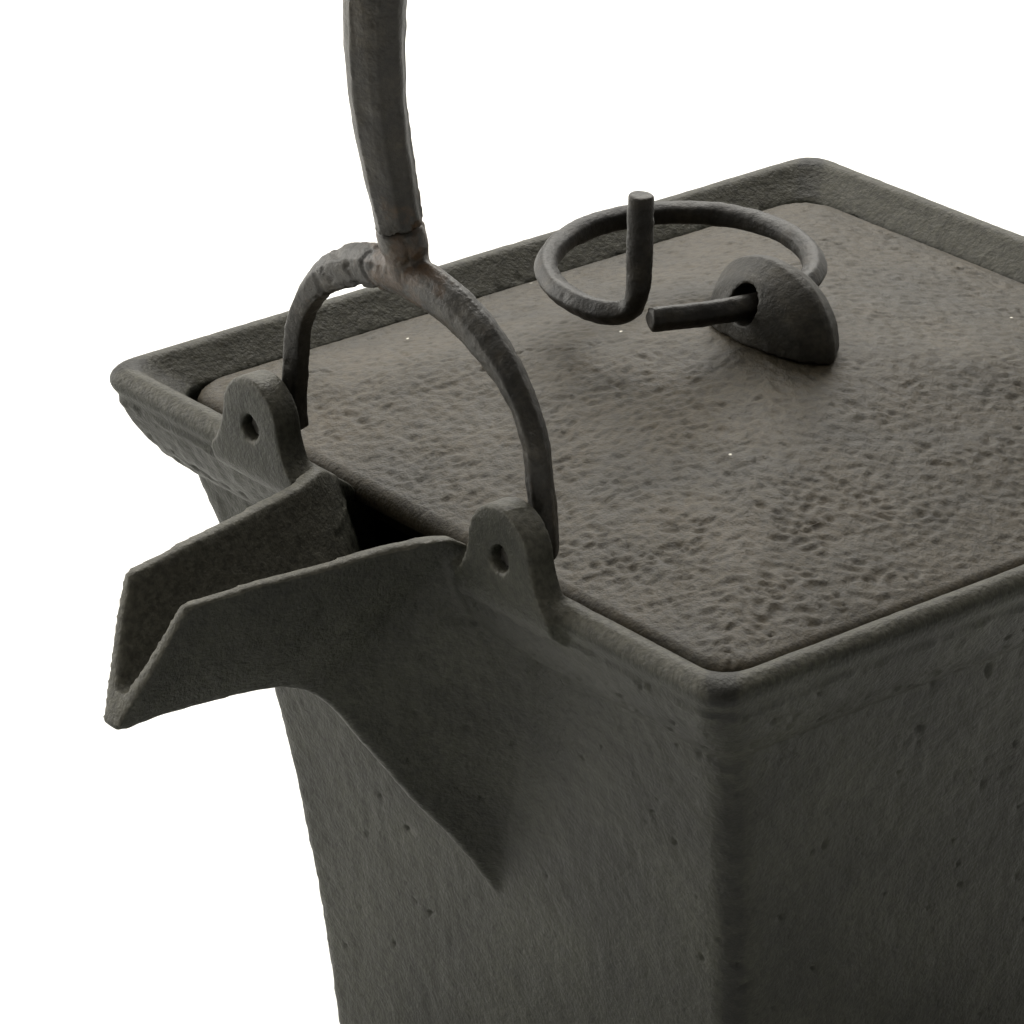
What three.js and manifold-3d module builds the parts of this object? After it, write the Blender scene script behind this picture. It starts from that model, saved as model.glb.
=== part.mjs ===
// A square cast iron sake kettle: flared body with an open spout, drop-in lid with a wire ring,
// and a hollow forged bail held in three ears by a forked front leg and a hooked rear leg.
// Millimetres, +Z up. Origin at the middle of the resting face; the spout points along -Y.

import * as THREE from 'three';
import { mergeVertices } from 'three/addons/utils/BufferGeometryUtils.js';
import Module from 'manifold-3d';

const wasm = await Module();
wasm.setup();

// ---------------------------------------------------------------- driving sizes

const touchGap = 0.3; // between pieces that touch

// body casting
const height = 106; // resting face to rim top
const baseHalf = 44.6; // half width just above the foot rounding
const shoulderHalf = 57; // half width at the line under the rim
const shoulderDrop = 14.7; // that line, below the rim top
const leanShare = 0.5; // share of the widening that is a straight lean, the rest curves out
const cornerRadius = 4;
const footRadius = 4;
const wall = 3;
const floorThickness = 3.6;

// rim
const rimFlare = 8; // rim overhang past the shoulder
const rimHalf = shoulderHalf + rimFlare;
const lipRadius = 2.1; // rolled lip
const flareBulge = 1.4; // exponent of the flare curve: 1 is a straight chamfer, 2 an ellipse

// lid seat, a step cut inside the rim
const seatInset = 7.6; // seat wall, in from the rim's outside
const seatDepth = 6.6; // ledge below the rim top
const seatMouth = 4; // where the sloping inside of the rim meets the seat wall
const seatHalf = rimHalf - seatInset;
const openingHalf = shoulderHalf - wall - 1;

// spout
const spoutReach = 42.2; // tip past the rim
const mouthDrop = 16.2; // tip below the rim top
const mouthHalf = 6.9; // half width of the mouth
const mouthSlant = 7.9; // how far the mouth's top corners stand back from the tip
const rootHalf = 15.8; // half width where the trough meets the rim
const keelFoot = 62.5; // lower end of the keel below the rim top
const mouthWall = 1.7; // cut edges at the mouth
const rootWall = 2.4; // and where the trough meets the rim
const keelWall = 4.6; // ridge to valley, along the section
const ridgeHalf = 0.7; // flat of the ridge under the spout
const tipHalf = 1.5; // and at its tip

// ears, one each side of the spout and one at the back
const earX = 26.1;
const earThickness = 5;
const earProud = 1.8; // ear face past the rim
const earTopRadius = 6.1;
const earBaseHalf = 9.2;
const eyeHeight = 3.7; // hole centre above the rim top
const earTopRise = 0.8; // centre of the ear's round top above its hole
const eyeRadius = 1.8;

// lid
const lidClearance = 0.4; // all round, in the seat
const lidRise = 11; // middle above the edge
const lidEdgeHeight = 2.9;
const lidThickness = 3;
const lidPower = 1.25; // 1 is a plain pyramid
const flangeDepth = 5;
const flangeThickness = 2.6;
const flangeClearance = 0.8;

// lug and ring on the lid
const lugHalf = 11.7;
const lugHeight = 10.3;
const lugEdge = 1.1; // thickness at the rim of the lug
const lugBelly = 11.6; // thickness in the middle
const lugEyeHeight = 4.8; // hole centre above the lid's middle
const lugEyeShift = -0.4; // and to the side that the ring lies on
const lugEyeRadius = 2.7;
const tangRadius = 2.4;
const washerRadius = 7;
const washerThickness = 1.2;
const headRadius = 4.2;
const headThickness = 1.5;
const ringSag = 0.4; // wire rests low in the lug's eye
const ringWire = 1.8; // wire radius
const ringRadius = 18.1; // to the wire's middle
const ringTilt = 0.8; // back of the ring's loop above its middle, and its front below
const ringBack = 142; // degrees round from +X to the raised place
const tailLength = 17.5; // upturned end of the ring

// bail
const forkRod = 1.8; // leg radius of the fork
const forkCrown = 3; // radius at the crown
const crownHeight = 30.8; // middle of the crown above the rim top
const archStart = 12; // legs are straight up to here
const rearTop = 2.4; // leg radius at the top of the rear hook
const legSet = 0.4; // leg's clearance behind the ear
const legTuck = 0.9; // legs nearer together than the pins
const tubeNeck = 7.2; // lower ends of the tube above the crown's middle
const neckRadius = 2.8; // leg where it meets the tube's end
const bailTop = 112; // top of the tube's middle line above the rim top
const tubeSet = 1.4; // tube's ends, outward of the leg line
const bowOut = 4.4; // tube's widest place, outward of the leg line
const bowHeight = 61; // height of that place above the rim top
const tubeEnd = 3.2; // tube radius at its ends
const gripHalf = 6; // tube half width on top
const gripThick = 4.7; // tube half thickness on top
const tubeWall = 1.3;
const plugLength = 9; // how far the solid legs reach into the tube
const pinRecess = 1.2; // pin ends, in from the ear's face

// ---------------------------------------------------------------- places worked out from the sizes

const legY = rimHalf + earProud - earThickness - legSet - forkRod; // leg line, from the middle
const tubeStart = crownHeight + tubeNeck; // lower ends of the tube above the rim top
const lidHalf = seatHalf - lidClearance;
const lidEdgeBottom = height - seatDepth + touchGap;
const lidEdgeTop = lidEdgeBottom + lidEdgeHeight;
const lidTop = lidEdgeTop + lidRise;
const padBottom = lidTop - lidThickness - 1; // flat pad under the lid's middle
const pinRadius = eyeRadius - touchGap;

// ---------------------------------------------------------------- materials

const castIron = new THREE.MeshStandardMaterial({ color: 0x2e2e2b, roughness: 0.75, metalness: 0.5 });
const lidIron = new THREE.MeshStandardMaterial({ color: 0x3b3833, roughness: 0.8, metalness: 0.45 });
const forgedIron = new THREE.MeshStandardMaterial({ color: 0x2b2a28, roughness: 0.55, metalness: 0.7 });

// ---------------------------------------------------------------- geometry helpers

// closed solid from a three.js geometry
function solid(geometry) {
  const bare = geometry.index ? geometry.toNonIndexed() : geometry.clone();
  bare.deleteAttribute('normal');
  bare.deleteAttribute('uv');
  const merged = mergeVertices(bare);
  const vertProperties = new Float32Array(merged.attributes.position.array);
  const triVerts = new Uint32Array(merged.index.array);
  return new wasm.Manifold(new wasm.Mesh({ numProp: 3, vertProperties, triVerts }));
}

// named mesh from a solid
function part(name, body, material) {
  const { vertProperties, triVerts } = body.getMesh();
  const geometry = new THREE.BufferGeometry();
  geometry.setAttribute('position', new THREE.BufferAttribute(new Float32Array(vertProperties), 3));
  geometry.setIndex(new THREE.BufferAttribute(new Uint32Array(triVerts), 1));
  geometry.computeVertexNormals();
  const mesh = new THREE.Mesh(geometry, material);
  mesh.name = name;
  return mesh;
}

// skin over a row of outlines with equal point counts, flat at both ends
function loft(rings) {
  const count = rings[0].length;
  const faces = [];
  for (let i = 0; i + 1 < rings.length; i += 1) {
    for (let k = 0; k < count; k += 1) {
      const a = i * count + k;
      const b = i * count + ((k + 1) % count);
      faces.push(a, b, b + count, a, b + count, a + count);
    }
  }
  const last = (rings.length - 1) * count;
  for (const [a, b, c] of capFaces(rings[0])) faces.push(c, b, a);
  for (const [a, b, c] of capFaces(rings.at(-1))) faces.push(last + a, last + b, last + c);
  const geometry = new THREE.BufferGeometry().setFromPoints(rings.flat());
  geometry.setIndex(faces);
  return solid(outward(geometry));
}

// triangles that fill one flat outline, in the outline's own turning sense
function capFaces(ring) {
  const middle = ring.reduce((sum, p) => sum.add(p), new THREE.Vector3()).divideScalar(ring.length);
  const normal = new THREE.Vector3();
  ring.forEach((p, k) => {
    const next = ring[(k + 1) % ring.length];
    normal.add(p.clone().sub(middle).cross(next.clone().sub(middle)));
  });
  normal.normalize();
  const across = ring[0].clone().sub(ring[1]).projectOnPlane(normal).normalize();
  const along = normal.clone().cross(across);
  const flat = ring.map((p) => new THREE.Vector2(p.dot(across), p.dot(along)));
  return THREE.ShapeUtils.triangulateShape(flat, []);
}

// turns a closed geometry inside out if its volume comes out negative
function outward(geometry) {
  const at = geometry.attributes.position;
  const index = geometry.index.array;
  const [a, b, c] = [new THREE.Vector3(), new THREE.Vector3(), new THREE.Vector3()];
  let volume = 0;
  for (let i = 0; i < index.length; i += 3) {
    a.fromBufferAttribute(at, index[i]);
    b.fromBufferAttribute(at, index[i + 1]);
    c.fromBufferAttribute(at, index[i + 2]);
    volume += a.dot(b.cross(c));
  }
  if (volume < 0) geometry.setIndex([...index].reverse());
  return geometry;
}

// level rounded square
function squareRing(half, radius, z, cornerSteps = 6) {
  const points = [];
  for (let corner = 0; corner < 4; corner += 1) {
    const start = (corner * Math.PI) / 2;
    const turn = start + Math.PI / 4;
    const centre = (half - radius) * Math.SQRT2;
    for (let k = 0; k <= cornerSteps; k += 1) {
      const angle = start + (k / cornerSteps) * (Math.PI / 2);
      const x = centre * Math.cos(turn) + radius * Math.cos(angle);
      const y = centre * Math.sin(turn) + radius * Math.sin(angle);
      points.push(new THREE.Vector3(x, y, z));
    }
  }
  return points;
}

// evenly spaced numbers from a to b, both included
const spread = (a, b, steps) => Array.from({ length: steps + 1 }, (_, k) => a + ((b - a) * k) / steps);

// tube along a curve: sectionAt(t) gives [half width across, half thickness], sides the facet count
function sweep(curve, steps, sides, across, sectionAt) {
  const rings = spread(0, 1, steps).map((t) => {
    const centre = curve.getPointAt(t);
    const along = curve.getTangentAt(t);
    const wide = across(t, along).normalize();
    const thick = along.clone().cross(wide).normalize();
    const [halfWide, halfThick] = sectionAt(t);
    return spread(0, 2 * Math.PI, sides).slice(0, -1).map((angle) => centre.clone()
      .addScaledVector(wide, halfWide * Math.cos(angle))
      .addScaledVector(thick, halfThick * Math.sin(angle)));
  });
  return loft(rings);
}

// round bar between two points
function bar(from, to, radius, sides = 16) {
  const length = from.distanceTo(to);
  const geometry = new THREE.CylinderGeometry(radius, radius, length, sides);
  const direction = to.clone().sub(from).normalize();
  geometry.applyQuaternion(new THREE.Quaternion().setFromUnitVectors(new THREE.Vector3(0, 1, 0), direction));
  geometry.translate(...from.clone().add(to).multiplyScalar(0.5).toArray());
  return solid(geometry);
}

const point = (x, y, z) => new THREE.Vector3(x, y, z);

// ---------------------------------------------------------------- body casting

// outside half width of the body wall at a height
function bodyHalf(z) {
  const share = z / (height - shoulderDrop);
  return baseHalf + (shoulderHalf - baseHalf) * (leanShare * share + (1 - leanShare) * share ** 3);
}

// outside of the rim between the shoulder line and the crease under the lip
const crease = { half: rimHalf - 0.8, z: height - 2 * lipRadius };

function flarePoint(share) {
  const angle = (share * Math.PI) / 2;
  const out = Math.sin(angle) ** (2 / flareBulge);
  const up = 1 - Math.cos(angle) ** (2 / flareBulge);
  const shoulderZ = height - shoulderDrop;
  return {
    half: shoulderHalf + (crease.half - shoulderHalf) * out,
    z: shoulderZ + (crease.z - shoulderZ) * up,
  };
}

// point on the rolled lip, 0 facing out and a quarter turn facing up
function lipPoint(angle) {
  return {
    half: rimHalf - lipRadius + lipRadius * Math.cos(angle),
    z: height - lipRadius + lipRadius * Math.sin(angle),
  };
}

function bodyOutside() {
  const foot = spread(0, Math.PI / 2, 4).map((angle) => ({
    half: bodyHalf(footRadius) - footRadius * (1 - Math.sin(angle)),
    z: footRadius * (1 - Math.cos(angle)),
  }));
  const side = spread(footRadius, height - shoulderDrop, 11).slice(1).map((z) => ({ half: bodyHalf(z), z }));
  const flare = spread(0, 1, 7).slice(1).map(flarePoint);
  const lip = spread(-0.9, Math.PI / 2, 7).map(lipPoint);
  const profile = [...foot, ...side, ...flare, ...lip];
  return loft(profile.map(({ half, z }) => squareRing(half, cornerRadius, z)));
}

function bodyInside() {
  const ledgeZ = height - seatDepth;
  const innerFoot = spread(0, Math.PI / 2, 2).map((angle) => ({
    half: bodyHalf(footRadius) - wall - footRadius * (1 - Math.sin(angle)),
    z: floorThickness + footRadius * (1 - Math.cos(angle)),
  }));
  const side = spread(floorThickness + footRadius, ledgeZ, 8).slice(1).map((z) => ({
    half: Math.min(openingHalf, bodyHalf(z) - wall),
    z,
  }));
  const seat = [
    { half: seatHalf, z: ledgeZ },
    { half: seatHalf, z: height - seatMouth },
  ];
  const lip = [2.6, 2.25, 1.9, 1.65].map(lipPoint);
  const above = { half: lip.at(-1).half, z: height + 20 };
  const profile = [...innerFoot, ...side, ...seat, ...lip, above];
  return loft(profile.map(({ half, z }) => squareRing(half, cornerRadius, z)));
}

// ---------------------------------------------------------------- spout

// the ridge under the spout, from its tip to where it dies into the front wall
const keel = new THREE.CatmullRomCurve3([
  point(0, -rimHalf - spoutReach, height - mouthDrop),
  point(0, -rimHalf - 0.79 * spoutReach, height - mouthDrop - 0.6),
  point(0, -rimHalf - 0.57 * spoutReach, height - mouthDrop - 1.3),
  point(0, -rimHalf - 0.38 * spoutReach, height - mouthDrop - 2.8),
  point(0, -rimHalf - 10.5, height - mouthDrop - 6.3),
  point(0, -rimHalf - 4, height - 0.5 * keelFoot),
  point(0, -rimHalf + 3, height - 0.66 * keelFoot),
  point(0, -bodyHalf(height - 0.82 * keelFoot) - 4.6, height - 0.82 * keelFoot),
  point(0, -bodyHalf(height - keelFoot) + 1.1, height - keelFoot),
], false, 'centripetal');

// point sunk just inside the front wall
const onWall = (x, drop) => point(x, -bodyHalf(height - drop) + 1.2, height - drop);

// the spout's edge: the top of the trough, then its root down the front wall
const edge = new THREE.CatmullRomCurve3([
  point(mouthHalf, -rimHalf - spoutReach + mouthSlant, height + 0.2),
  point(mouthHalf + 0.17 * (rootHalf - mouthHalf), -rimHalf - 0.6 * spoutReach, height + 0.8),
  point(mouthHalf + 0.4 * (rootHalf - mouthHalf), -rimHalf - 0.36 * spoutReach, height + 1.1),
  point(mouthHalf + 0.64 * (rootHalf - mouthHalf), -rimHalf - 5, height + 1.6),
  point(rootHalf, -rimHalf + 1.5, height + 1),
  onWall(rootHalf + 4.2, shoulderDrop + 0.5),
  onWall(rootHalf + 1.7, 0.44 * keelFoot),
  onWall(0.66 * rootHalf, 0.71 * keelFoot),
  onWall(2, 0.99 * keelFoot),
], false, 'centripetal');

// how hollow the spout's flank is: 0 for the straight trough, 1 where it sweeps into the wall
const flankHollow = (t) => THREE.MathUtils.smoothstep(t, 0.35, 0.62);

// half outline of a flank between two (across, up) points
function flank(start, end, hollow, steps) {
  const bendX = THREE.MathUtils.lerp(0.56, 0.34, hollow);
  const bendUp = THREE.MathUtils.lerp(0.42, 0.72, hollow);
  const bend = new THREE.Vector2(
    start.x + (end.x - start.x) * bendX,
    start.y + (end.y - start.y) * bendUp,
  );
  return new THREE.QuadraticBezierCurve(start, bend, end).getPoints(steps);
}

// closed outline across the spout at t, inset for the channel and raised by cover past its edge
function spoutRing(t, inset, cover) {
  const bottom = keel.getPoint(t);
  const top = edge.getPoint(t);
  const up = point(0, top.y - bottom.y, top.z - bottom.z);
  const length = up.length();
  up.normalize();
  const edgeWall = inset * THREE.MathUtils.lerp(mouthWall, rootWall, THREE.MathUtils.smoothstep(t, 0, 0.5));
  const ridge = THREE.MathUtils.lerp(tipHalf, ridgeHalf, THREE.MathUtils.smoothstep(t, 0, 0.12));
  const start = new THREE.Vector2(inset ? ridgeHalf : ridge, inset * keelWall);
  const end = new THREE.Vector2(Math.max(top.x - edgeWall, 1.2), Math.max(length, start.y + 1));
  const half = flank(start, end, flankHollow(t), 9);
  if (cover > 0) half.push(new THREE.Vector2(end.x, end.y + cover));
  const right = half.map((p) => point(p.x, bottom.y + up.y * p.y, bottom.z + up.z * p.y));
  const left = right.map((p) => point(-p.x, p.y, p.z)).reverse();
  return [...right, ...left];
}

const spoutOutside = () => loft(spread(0, 1, 34).map((t) => spoutRing(t, 0, 0)));

function spoutInside() {
  const rings = spread(0, 1, 34).map((t) => spoutRing(t, 1, 9 + 6 * flankHollow(t)));
  const before = rings[0].map((p) => p.clone().add(point(0, -8, 0.5)));
  return loft([before, ...rings]);
}

// ---------------------------------------------------------------- ears

// front outline of an ear, its base flaring into the lip
function earOutline() {
  const outline = new THREE.Shape();
  const topCentre = eyeHeight + earTopRise;
  const sink = 9;
  outline.moveTo(-earBaseHalf - 1.2, -sink);
  outline.lineTo(-earBaseHalf, -1.2);
  outline.quadraticCurveTo(-earTopRadius - 0.9, 0.8, -earTopRadius, topCentre);
  outline.absarc(0, topCentre, earTopRadius, Math.PI, 0, true);
  outline.quadraticCurveTo(earTopRadius + 0.9, 0.8, earBaseHalf, -1.2);
  outline.lineTo(earBaseHalf + 1.2, -sink);
  outline.closePath();
  return outline;
}

// side outline of an ear: out from the rim, up and over
function earSide() {
  const outline = new THREE.Shape();
  const back = rimHalf + earProud - earThickness;
  const face = rimHalf + earProud;
  outline.moveTo(back, height - seatMouth + 1.6);
  outline.lineTo(back, height + 30);
  outline.lineTo(face, height + 30);
  outline.lineTo(face, height - 1.6);
  outline.quadraticCurveTo(face, height - 4.6, face - 3.4, height - 5.6);
  outline.lineTo(back - 2, height - 5.6);
  outline.closePath();
  return outline;
}

// an ear standing on the middle of the back rim, without its hole
function earBlank() {
  const deep = 20;
  const broad = 40;
  const front = new THREE.ExtrudeGeometry(earOutline(), { depth: deep, bevelEnabled: false, curveSegments: 12 });
  front.rotateX(Math.PI / 2);
  front.translate(0, rimHalf + deep / 2, height);
  const side = new THREE.ExtrudeGeometry(earSide(), { depth: broad, bevelEnabled: false, curveSegments: 4 });
  side.translate(0, 0, -broad / 2);
  side.rotateX(Math.PI / 2);
  side.rotateZ(Math.PI / 2);
  return solid(front).intersect(solid(side));
}

const eye = (x, side) => bar(
  point(x, side * (rimHalf - 6), height + eyeHeight),
  point(x, side * (rimHalf + 6), height + eyeHeight),
  eyeRadius,
  14,
);

function vessel() {
  const ear = earBlank();
  let body = bodyOutside().add(ear).subtract(eye(0, 1));
  for (const x of [-earX, earX]) {
    body = body.add(ear.rotate([0, 0, 180]).translate([x, 0, 0]));
    body = body.subtract(eye(x, -1));
  }
  body = body.add(spoutOutside());
  return body.subtract(bodyInside()).subtract(spoutInside());
}

// ---------------------------------------------------------------- lid and its fittings

// height of the lid's upper face at a distance out from the middle
const lidFace = (half) => lidTop - lidRise * (half / lidHalf) ** lidPower;

const lidOutline = (half, z) => squareRing(half, Math.min(6, 0.5 * half), z);

// the lid's upper face from its edge in to the middle, raised by a gap
function lidUpper(gap) {
  const shares = [0.96, 0.86, 0.74, 0.62, 0.5, 0.38, 0.26, 0.15, 0.06];
  return [
    lidOutline(lidHalf, lidEdgeTop - 1.2 + gap),
    lidOutline(lidHalf - 0.5, lidEdgeTop - 0.3 + gap),
    ...shares.map((share) => lidOutline(lidHalf * share, lidFace(lidHalf * share) + gap)),
  ];
}

function lidBlank() {
  const ring = lidOutline;
  const lower = [0.12, 0.4, 0.65].map((share) => {
    const half = lidHalf * share;
    return ring(half, Math.min(padBottom, lidFace(half) - lidThickness));
  });
  const flangeOuter = openingHalf - flangeClearance;
  const flangeInner = flangeOuter - flangeThickness;
  const flangeBottom = lidEdgeBottom - flangeDepth;
  return loft([
    ...lower,
    ring(flangeInner, lidFace(flangeInner) - lidThickness),
    ring(flangeInner + 0.3, flangeBottom),
    ring(flangeOuter, flangeBottom),
    ring(flangeOuter, lidEdgeBottom),
    ring(lidHalf, lidEdgeBottom),
    ...lidUpper(0),
  ]);
}

function lid() {
  const bore = bar(point(0, 0, lidEdgeBottom - 20), point(0, 0, lidTop + 20), tangRadius + touchGap);
  return lidBlank().subtract(bore);
}

// half disc with domed faces, its tang through the lid and a peened head below
function lidLug() {
  const profile = [
    [0, -lugBelly / 2],
    [0.45 * lugHalf, -0.46 * lugBelly],
    [0.8 * lugHalf, -0.3 * lugBelly],
    [lugHalf, -lugEdge / 2],
    [lugHalf, lugEdge / 2],
    [0.8 * lugHalf, 0.3 * lugBelly],
    [0.45 * lugHalf, 0.46 * lugBelly],
    [0, lugBelly / 2],
  ].map(([radius, y]) => new THREE.Vector2(radius, y));
  const lens = new THREE.LatheGeometry(profile, 36);
  lens.scale(1, 1, lugHeight / lugHalf);
  lens.translate(0, 0, lidTop);
  const washerTop = padBottom - touchGap;
  const headTop = washerTop - washerThickness - touchGap;
  const tang = bar(point(0, 0, headTop - 0.5), point(0, 0, lidTop + 1), tangRadius);
  const head = bar(point(0, 0, headTop - headThickness), point(0, 0, headTop), headRadius);
  const eyeZ = lidTop + lugEyeHeight;
  const hole = bar(point(lugEyeShift, -lugBelly, eyeZ), point(lugEyeShift, lugBelly, eyeZ), lugEyeRadius);
  const underLug = loft([lidOutline(lidHalf, height - 60), ...lidUpper(touchGap)]);
  return solid(lens).subtract(underLug).add(tang).add(head).subtract(hole);
}

function lidWasher() {
  const top = padBottom - touchGap;
  const disc = bar(point(0, 0, top - washerThickness), point(0, 0, top), washerRadius, 20);
  return disc.subtract(bar(point(0, 0, top - 5), point(0, 0, top + 5), tangRadius + touchGap));
}

// open ring of wire: a short end in front of the lug, a round loop to one side and an upturned tail
function lidRing() {
  const z = lidTop + lugEyeHeight - ringSag;
  const centre = point(-ringRadius + 0.7, -1.4, z);
  const around = (degrees) => {
    const angle = THREE.MathUtils.degToRad(degrees);
    const tilt = ringTilt * THREE.MathUtils.smoothstep(degrees, 18, 80);
    const rise = tilt * Math.cos(angle - THREE.MathUtils.degToRad(ringBack));
    return centre.clone().add(point(ringRadius * Math.cos(angle), ringRadius * Math.sin(angle), rise));
  };
  const loop = spread(18, 284, 16).map(around);
  const corner = around(297);
  const path = new THREE.CatmullRomCurve3([
    point(centre.x + ringRadius - 5, centre.y - 16.2, z + 0.5),
    point(centre.x + ringRadius - 2.4, centre.y - 8, z + 0.1),
    point(centre.x + ringRadius - 0.9, centre.y, z),
    ...loop,
    corner.clone().add(point(-0.4, 0.2, 0.7)),
    corner.clone().add(point(1.2, 0.8, 3.2)),
    corner.clone().add(point(1.5, 1, 0.55 * tailLength)),
    corner.clone().add(point(1.9, 1, tailLength)),
  ], false, 'centripetal');
  const section = new THREE.Shape().absarc(0, 0, ringWire, 0, 2 * Math.PI, false);
  const geometry = new THREE.ExtrudeGeometry(section, { steps: 64, extrudePath: path, curveSegments: 5 });
  return solid(geometry);
}

// ---------------------------------------------------------------- bail

// middle line of the tube from its front end to its rear end
function bailLine() {
  const side = (sign) => ({
    end: point(0, sign * (legY + tubeSet), height + tubeStart),
    bow: point(0, sign * (legY + bowOut), height + bowHeight),
    top: point(0, 0, height + bailTop),
  });
  const stretch = ({ end, bow, top }, sign) => {
    const rise = bowHeight - tubeStart;
    const lower = new THREE.CubicBezierCurve3(
      end,
      end.clone().add(point(0, sign * 1.5, 0.36 * rise)),
      bow.clone().add(point(0, 0, -0.4 * rise)),
      bow,
    );
    const shoulder = new THREE.CubicBezierCurve3(
      bow,
      bow.clone().add(point(0, 0, 0.84 * (bailTop - bowHeight))),
      top.clone().add(point(0, sign * 0.52 * (legY + bowOut), 0)),
      top,
    );
    return [...lower.getPoints(4), ...shoulder.getPoints(10).slice(1)];
  };
  const front = stretch(side(-1), -1);
  const rear = stretch(side(1), 1).reverse();
  return new THREE.CatmullRomCurve3([...front, ...rear.slice(1)], false, 'centripetal');
}

const sideways = () => point(1, 0, 0);

function bailTube() {
  const line = bailLine();
  const swell = (t) => Math.sin(Math.PI * t) ** 0.8;
  const outside = (t) => [
    THREE.MathUtils.lerp(tubeEnd, gripHalf, swell(t)),
    THREE.MathUtils.lerp(tubeEnd, gripThick, swell(t)),
  ];
  const inside = (t) => outside(t).map((half) => half - tubeWall);
  const longer = new THREE.CatmullRomCurve3([
    line.getPointAt(0).addScaledVector(line.getTangentAt(0), -3),
    ...line.getSpacedPoints(28),
    line.getPointAt(1).addScaledVector(line.getTangentAt(1), 3),
  ], false, 'centripetal');
  return sweep(line, 40, 12, sideways, outside).subtract(sweep(longer, 42, 12, sideways, inside));
}

// neck that carries a leg up to the tube's end, and the thinner plug inside the tube
function plug(sign, start, startRadius) {
  const line = bailLine();
  const at = (length) => line.getPointAt(sign < 0 ? length / line.getLength() : 1 - length / line.getLength());
  const end = at(0);
  const down = end.clone().sub(at(1)).normalize();
  const shoulder = end.clone().addScaledVector(down, touchGap);
  const inTube = tubeEnd - tubeWall - touchGap;
  const square = shoulder.clone().addScaledVector(down, 2); // so that the neck's end is parallel to the tube's
  const neck = new THREE.CatmullRomCurve3([start, square, shoulder]);
  const taper = (t) => {
    const here = THREE.MathUtils.lerp(startRadius, neckRadius, t);
    return [here, here];
  };
  const inside = new THREE.CatmullRomCurve3([
    shoulder.clone().addScaledVector(down, 1),
    end,
    at(0.5 * plugLength),
    at(plugLength),
  ]);
  return sweep(neck, 6, 14, sideways, taper).add(sweep(inside, 8, 12, sideways, () => [inTube, inTube]));
}

// pin through an ear, from the leg to just inside the ear's face
function pin(x, sign) {
  const z = height + eyeHeight;
  const face = rimHalf + earProud - pinRecess;
  return bar(point(x, sign * (legY - 0.5 * forkRod), z), point(x, sign * face, z), pinRadius, 12);
}

function handleFork() {
  const archHalf = earX - legTuck;
  const archPoint = (angle) => point(
    archHalf * Math.cos(angle),
    -legY,
    height + archStart + (crownHeight - archStart) * Math.sin(angle),
  );
  const arch = new THREE.CatmullRomCurve3([
    point(earX, -legY, height + eyeHeight - forkRod),
    point(earX, -legY, height + eyeHeight + 2),
    ...spread(0, Math.PI, 14).map(archPoint),
    point(-earX, -legY, height + eyeHeight + 2),
    point(-earX, -legY, height + eyeHeight - forkRod),
  ], false, 'centripetal');
  const across = (t, along) => along.clone().cross(point(0, 1, 0));
  const radius = (t) => {
    const crown = THREE.MathUtils.smoothstep(Math.sin(Math.PI * t), 0.55, 1);
    return [THREE.MathUtils.lerp(forkRod, forkCrown, crown), THREE.MathUtils.lerp(forkRod, forkCrown - 0.5, crown)];
  };
  const crown = point(0, -legY, height + crownHeight);
  return sweep(arch, 44, 12, across, radius)
    .add(plug(-1, crown, neckRadius))
    .add(pin(earX, -1))
    .add(pin(-earX, -1));
}

function rearHook() {
  const foot = height + eyeHeight;
  const leg = new THREE.CatmullRomCurve3([
    point(0, legY, foot - forkRod),
    point(0, legY, foot + 8),
    point(0, legY + 0.4, foot + 18),
    point(0, legY + 1.6, height + crownHeight),
  ], false, 'centripetal');
  const radius = (t) => {
    const here = THREE.MathUtils.lerp(forkRod, rearTop, t);
    return [here, here];
  };
  return sweep(leg, 12, 12, sideways, radius)
    .add(plug(1, leg.getPointAt(1).add(point(0, 0, -0.5)), rearTop))
    .add(pin(0, 1));
}

// ---------------------------------------------------------------- assembly

const kettle = new THREE.Group();
kettle.add(
  part('vessel', vessel(), castIron),
  part('lid', lid(), lidIron),
  part('lid_lug', lidLug(), forgedIron),
  part('lid_washer', lidWasher(), forgedIron),
  part('lid_ring', lidRing(), forgedIron),
  part('bail_tube', bailTube(), forgedIron),
  part('handle_fork', handleFork(), forgedIron),
  part('rear_hook', rearHook(), forgedIron),
);

export default kettle;
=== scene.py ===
"""A square cast iron kettle: the cast body with its open spout, the dimpled lid, the lug and its ring of
hammered wire, and the forged bail on its forked leg. Metres, +Z up, the spout along -Y."""

import math

import bmesh
import bpy
import numpy as np
from mathutils import Matrix, Vector, noise
from mathutils.geometry import interpolate_bezier


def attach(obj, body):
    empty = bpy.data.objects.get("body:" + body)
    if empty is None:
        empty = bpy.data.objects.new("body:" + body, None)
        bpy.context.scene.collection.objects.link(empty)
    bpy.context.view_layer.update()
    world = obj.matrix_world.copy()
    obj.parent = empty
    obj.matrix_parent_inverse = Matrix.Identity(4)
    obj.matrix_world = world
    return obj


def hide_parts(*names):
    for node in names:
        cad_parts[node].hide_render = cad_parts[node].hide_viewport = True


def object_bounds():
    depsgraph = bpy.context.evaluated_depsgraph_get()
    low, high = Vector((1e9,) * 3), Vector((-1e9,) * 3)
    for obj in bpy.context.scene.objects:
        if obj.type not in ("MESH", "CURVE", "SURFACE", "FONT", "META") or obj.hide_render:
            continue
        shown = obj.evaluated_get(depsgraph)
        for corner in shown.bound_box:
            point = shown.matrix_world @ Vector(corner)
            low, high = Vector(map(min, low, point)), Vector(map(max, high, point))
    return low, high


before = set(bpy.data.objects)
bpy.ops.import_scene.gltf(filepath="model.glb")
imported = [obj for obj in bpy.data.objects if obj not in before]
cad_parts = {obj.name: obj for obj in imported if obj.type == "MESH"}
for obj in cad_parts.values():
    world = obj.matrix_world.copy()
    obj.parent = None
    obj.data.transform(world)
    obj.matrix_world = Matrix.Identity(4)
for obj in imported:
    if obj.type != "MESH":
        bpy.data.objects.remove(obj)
cad_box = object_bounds()

MM = 0.001

# ---------------------------------------------------------------- sizes, in millimetres

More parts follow.
